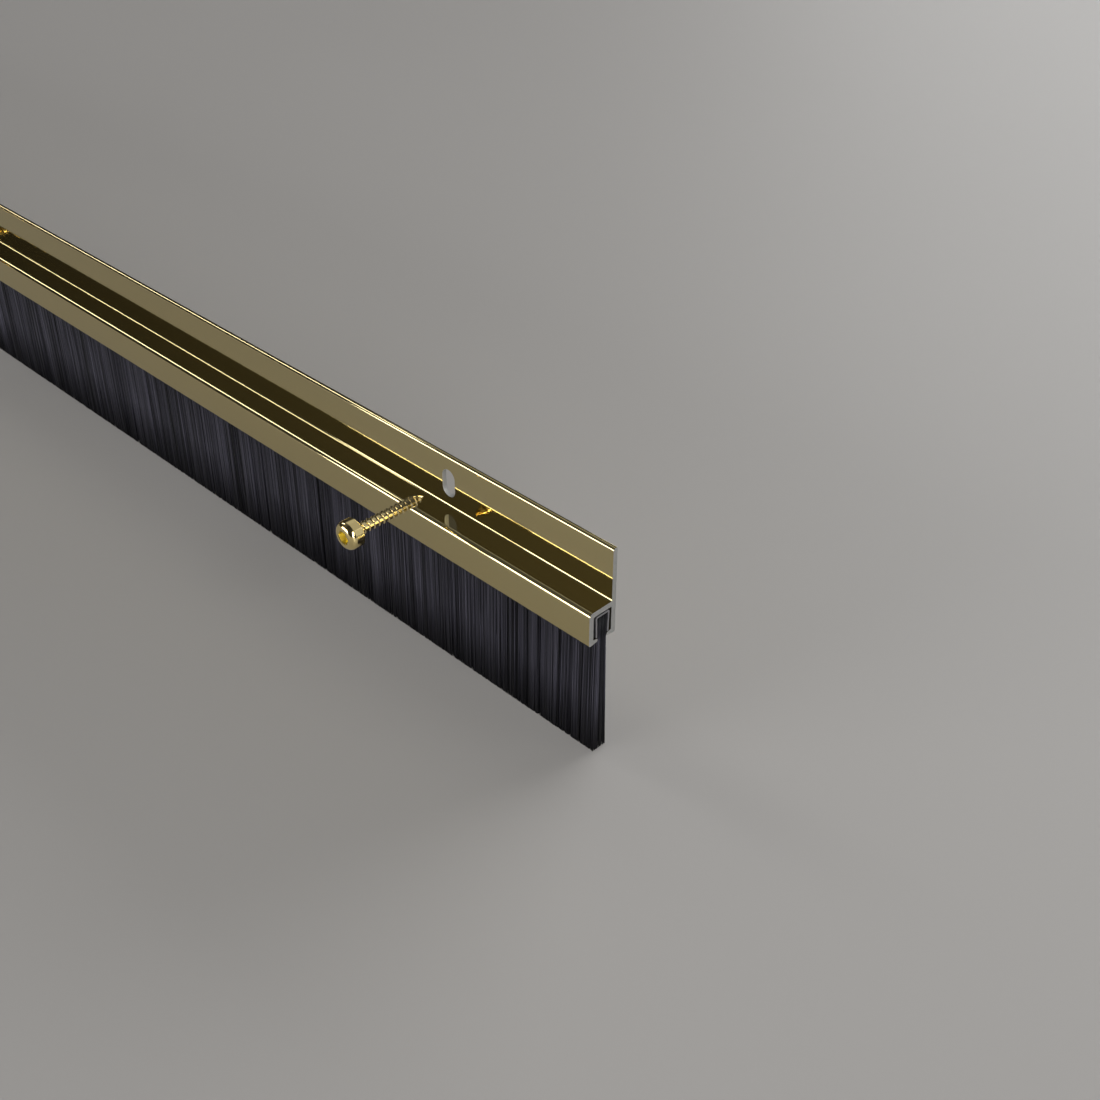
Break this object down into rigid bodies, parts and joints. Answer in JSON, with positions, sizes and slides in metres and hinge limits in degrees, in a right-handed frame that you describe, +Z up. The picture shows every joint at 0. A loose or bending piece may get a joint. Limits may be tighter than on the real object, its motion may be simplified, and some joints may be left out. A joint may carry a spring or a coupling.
{
  "type": "brush door sweep",
  "caption": "Gold aluminium carrier strip with upright screw slots and a charcoal brush in its lower channel, to seal the gap under a door; its wood screws are held in front of the slots.",
  "frame": {"origin": "on the carrier's back face, which lies on the door, at mid-length and level with the centres of the screw slots", "axes": "+X along the strip towards the end that the picture shows, +Y into the door, +Z up"},
  "size_m": [0.914, 0.0356, 0.0601],
  "materials": {
    "polished_gold_aluminium": "polished gold, with bare sawn ends",
    "backing_steel": "galvanised",
    "charcoal_filament": "fine nylon filament, satin",
    "bright_brass": "bright plated"
  },
  "bodies": {
    "carrier": {"carrier": "polished_gold_aluminium"},
    "brush_strip": {"brush_backing_channel": "backing_steel", "core_wire": "backing_steel", "bristles": "charcoal_filament"},
    "screw_1": {"fixing_screw_1": "bright_brass"},
    "screw_2": {"fixing_screw_2": "bright_brass"},
    "screw_3": {"fixing_screw_3": "bright_brass"},
    "screw_4": {"fixing_screw_4": "bright_brass"}
  },
  "joints": [
    {"name": "brush_slide", "type": "slide", "parent": "carrier", "child": "brush_strip", "axis": [1, 0, 0], "range_m": [-0.914, 0.914]},
    {"name": "screw_1_slide", "type": "slide", "parent": "carrier", "child": "screw_1", "axis": [0, 1, 0], "range_m": [0, 0.0301]},
    {"name": "screw_2_slide", "type": "slide", "parent": "carrier", "child": "screw_2", "axis": [0, 1, 0], "range_m": [0, 0.0301]},
    {"name": "screw_3_slide", "type": "slide", "parent": "carrier", "child": "screw_3", "axis": [0, 1, 0], "range_m": [0, 0.0301]},
    {"name": "screw_4_slide", "type": "slide", "parent": "carrier", "child": "screw_4", "axis": [0, 1, 0], "range_m": [0, 0.0301]}
  ]
}
